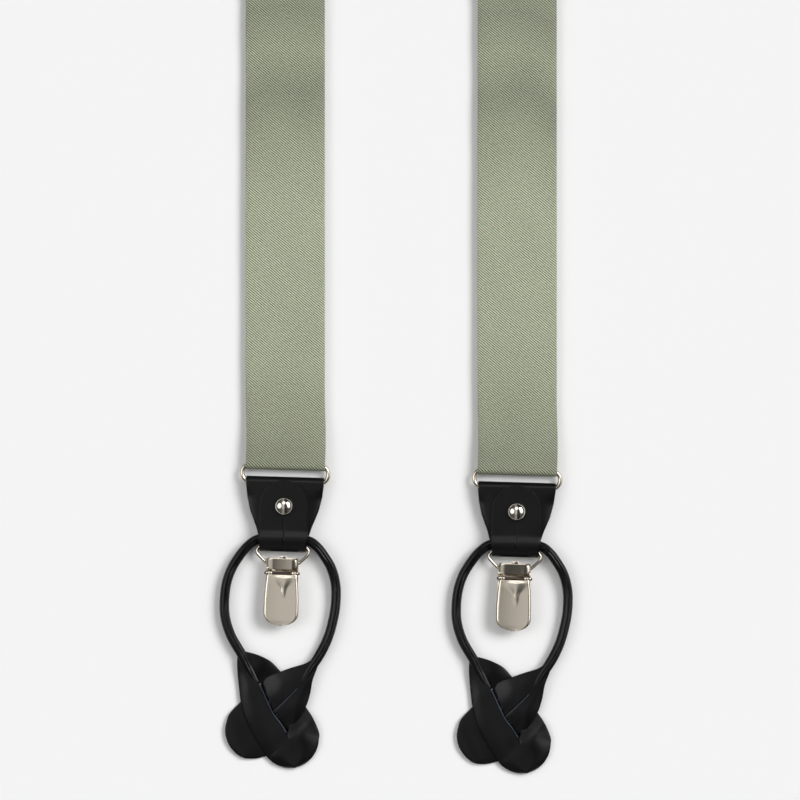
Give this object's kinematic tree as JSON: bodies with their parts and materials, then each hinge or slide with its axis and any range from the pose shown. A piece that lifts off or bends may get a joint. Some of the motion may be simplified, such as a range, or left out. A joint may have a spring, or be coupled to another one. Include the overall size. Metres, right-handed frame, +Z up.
{
  "type": "suspenders",
  "caption": "Y-back dress suspenders lying flat: twill straps with adjusters, leather patch, elastic back strap, and ends with ring, leather tab, sprung clip and button loop",
  "frame": {"origin": "the middle of the leather patch, on its flat underside, which lies on the surface", "axes": "+Z up from the surface, +Y along the elastic strap towards the back end, +X to the right of someone looking down with the front ends nearest"},
  "size_m": [0.1567, 1.1448, 0.0112],
  "materials": {
    "twill_strap": "sage green woven twill ribbon with a soft sheen",
    "elastic_web": "black woven elastic webbing, matt",
    "black_leather": "smooth black leather, semi-matt, with burnished edges",
    "nickel": "polished nickel plate, slightly warm",
    "pad_plastic": "moulded off-white plastic grip"
  },
  "bodies": {
    "root": {"patch_front": "black_leather", "patch_back": "black_leather", "left_upper_strap": "twill_strap", "right_upper_strap": "twill_strap", "back_elastic_strap": "elastic_web"},
    "left_front": {"left_lower_strap": "twill_strap", "left_adjuster_frame": "nickel", "left_gate_pin": "nickel"},
    "left_gate": {"left_adjuster_gate": "nickel"},
    "left_ring_link": {"left_ring": "nickel"},
    "left_tab": {"left_leather_tab": "black_leather", "left_stud_head": "nickel", "left_stud_base": "nickel"},
    "left_loop": {"left_button_loop": "black_leather"},
    "left_bail_link": {"left_bail": "nickel"},
    "left_clip": {"left_clip_body": "nickel", "left_clip_pin": "nickel", "left_lower_pad": "pad_plastic"},
    "left_lever": {"left_clip_lever": "nickel"},
    "left_jaw": {"left_clip_jaw": "nickel", "left_upper_pad": "pad_plastic"},
    "right_front": {"right_lower_strap": "twill_strap", "right_adjuster_frame": "nickel", "right_gate_pin": "nickel"},
    "right_gate": {"right_adjuster_gate": "nickel"},
    "right_ring_link": {"right_ring": "nickel"},
    "right_tab": {"right_leather_tab": "black_leather", "right_stud_head": "nickel", "right_stud_base": "nickel"},
    "right_loop": {"right_button_loop": "black_leather"},
    "right_bail_link": {"right_bail": "nickel"},
    "right_clip": {"right_clip_body": "nickel", "right_clip_pin": "nickel", "right_lower_pad": "pad_plastic"},
    "right_lever": {"right_clip_lever": "nickel"},
    "right_jaw": {"right_clip_jaw": "nickel", "right_upper_pad": "pad_plastic"},
    "back_hem": {"back_strap_hem": "elastic_web"},
    "back_ring_link": {"back_ring": "nickel"},
    "back_tab": {"back_leather_tab": "black_leather", "back_stud_head": "nickel", "back_stud_base": "nickel"},
    "back_loop": {"back_button_loop": "black_leather"},
    "back_bail_link": {"back_bail": "nickel"},
    "back_clip": {"back_clip_body": "nickel", "back_clip_pin": "nickel", "back_lower_pad": "pad_plastic"},
    "back_lever": {"back_clip_lever": "nickel"},
    "back_jaw": {"back_clip_jaw": "nickel", "back_upper_pad": "pad_plastic"}
  },
  "joints": [
    {"name": "left_strap_slide", "type": "slide", "parent": "root", "child": "left_front", "axis": [0, -1, 0], "range_m": [0, 0.15]},
    {"name": "left_gate_hinge", "type": "hinge", "parent": "left_front", "child": "left_gate", "pos_m": [-0.0514, -0.4055, 0.0047], "axis": [-1, 0, 0], "range_deg": [0, 100]},
    {"name": "left_ring_swing", "type": "hinge", "parent": "left_front", "child": "left_ring_link", "pos_m": [-0.05129, -0.65615, 0.0033], "axis": [-0.9996, 0.0297, 0], "range_deg": [0, 70]},
    {"name": "left_tab_swing", "type": "hinge", "parent": "left_ring_link", "child": "left_tab", "pos_m": [-0.05151, -0.66385, 0.0033], "axis": [-0.9996, 0.0297, 0], "range_deg": [0, 45]},
    {"name": "left_loop_swing", "type": "hinge", "parent": "left_tab", "child": "left_loop", "pos_m": [-0.05225, -0.68859, 0.00445], "axis": [-0.9996, 0.0297, 0], "range_deg": [0, 65]},
    {"name": "left_bail_swing", "type": "hinge", "parent": "left_tab", "child": "left_bail_link", "pos_m": [-0.05236, -0.69239, 0.00405], "axis": [-0.9996, 0.0297, 0], "range_deg": [0, 45]},
    {"name": "left_clip_swing", "type": "hinge", "parent": "left_bail_link", "child": "left_clip", "pos_m": [-0.05259, -0.69998, 0.00405], "axis": [-0.9996, 0.0297, 0], "range_deg": [0, 28]},
    {"name": "left_lever_open", "type": "hinge", "parent": "left_clip", "child": "left_lever", "pos_m": [-0.05271, -0.70398, 0.006], "axis": [-0.9996, 0.0297, 0], "range_deg": [0, 90]},
    {"name": "left_jaw_open", "type": "hinge", "parent": "left_clip", "child": "left_jaw", "pos_m": [-0.05271, -0.70398, 0.006], "axis": [-0.9996, 0.0297, 0], "range_deg": [0, 18]},
    {"name": "right_strap_slide", "type": "slide", "parent": "root", "child": "right_front", "axis": [0, -1, 0], "range_m": [0, 0.15]},
    {"name": "right_gate_hinge", "type": "hinge", "parent": "right_front", "child": "right_gate", "pos_m": [0.0514, -0.4079, 0.0047], "axis": [-1, 0, 0], "range_deg": [0, 100]},
    {"name": "right_ring_swing", "type": "hinge", "parent": "right_front", "child": "right_ring_link", "pos_m": [0.05151, -0.65855, 0.0033], "axis": [-0.9996, 0.0297, 0], "range_deg": [0, 70]},
    {"name": "right_tab_swing", "type": "hinge", "parent": "right_ring_link", "child": "right_tab", "pos_m": [0.05129, -0.66625, 0.0033], "axis": [-0.9996, 0.0297, 0], "range_deg": [0, 45]},
    {"name": "right_loop_swing", "type": "hinge", "parent": "right_tab", "child": "right_loop", "pos_m": [0.05055, -0.69099, 0.00445], "axis": [-0.9996, 0.0297, 0], "range_deg": [0, 65]},
    {"name": "right_bail_swing", "type": "hinge", "parent": "right_tab", "child": "right_bail_link", "pos_m": [0.05044, -0.69479, 0.00405], "axis": [-0.9996, 0.0297, 0], "range_deg": [0, 45]},
    {"name": "right_clip_swing", "type": "hinge", "parent": "right_bail_link", "child": "right_clip", "pos_m": [0.05021, -0.70238, 0.00405], "axis": [-0.9996, 0.0297, 0], "range_deg": [0, 28]},
    {"name": "right_lever_open", "type": "hinge", "parent": "right_clip", "child": "right_lever", "pos_m": [0.0501, -0.70638, 0.006], "axis": [-0.9996, 0.0297, 0], "range_deg": [0, 90]},
    {"name": "right_jaw_open", "type": "hinge", "parent": "right_clip", "child": "right_jaw", "pos_m": [0.0501, -0.70638, 0.006], "axis": [-0.9996, 0.0297, 0], "range_deg": [0, 18]},
    {"name": "back_stretch", "type": "slide", "parent": "root", "child": "back_hem", "axis": [0, 1, 0], "range_m": [0, 0.045], "stiffness_N_per_m": 400, "deforming": ["back_elastic_strap"]},
    {"name": "back_ring_swing", "type": "hinge", "parent": "back_hem", "child": "back_ring_link", "pos_m": [-0.00011, 0.21815, 0.0033], "axis": [0.9996, -0.0297, 0], "range_deg": [0, 70]},
    {"name": "back_tab_swing", "type": "hinge", "parent": "back_ring_link", "child": "back_tab", "pos_m": [0.00011, 0.22585, 0.0033], "axis": [0.9996, -0.0297, 0], "range_deg": [0, 45]},
    {"name": "back_loop_swing", "type": "hinge", "parent": "back_tab", "child": "back_loop", "pos_m": [0.00085, 0.25059, 0.00445], "axis": [0.9996, -0.0297, 0], "range_deg": [0, 65]},
    {"name": "back_bail_swing", "type": "hinge", "parent": "back_tab", "child": "back_bail_link", "pos_m": [0.00096, 0.25439, 0.00405], "axis": [0.9996, -0.0297, 0], "range_deg": [0, 45]},
    {"name": "back_clip_swing", "type": "hinge", "parent": "back_bail_link", "child": "back_clip", "pos_m": [0.00119, 0.26198, 0.00405], "axis": [0.9996, -0.0297, 0], "range_deg": [0, 28]},
    {"name": "back_lever_open", "type": "hinge", "parent": "back_clip", "child": "back_lever", "pos_m": [0.0013, 0.26598, 0.006], "axis": [0.9996, -0.0297, 0], "range_deg": [0, 90]},
    {"name": "back_jaw_open", "type": "hinge", "parent": "back_clip", "child": "back_jaw", "pos_m": [0.0013, 0.26598, 0.006], "axis": [0.9996, -0.0297, 0], "range_deg": [0, 18]}
  ],
  "couplings": [
    {"joint": "left_jaw_open", "follows": "left_lever_open", "ratio": 0.2},
    {"joint": "right_jaw_open", "follows": "right_lever_open", "ratio": 0.2},
    {"joint": "back_jaw_open", "follows": "back_lever_open", "ratio": 0.2}
  ]
}
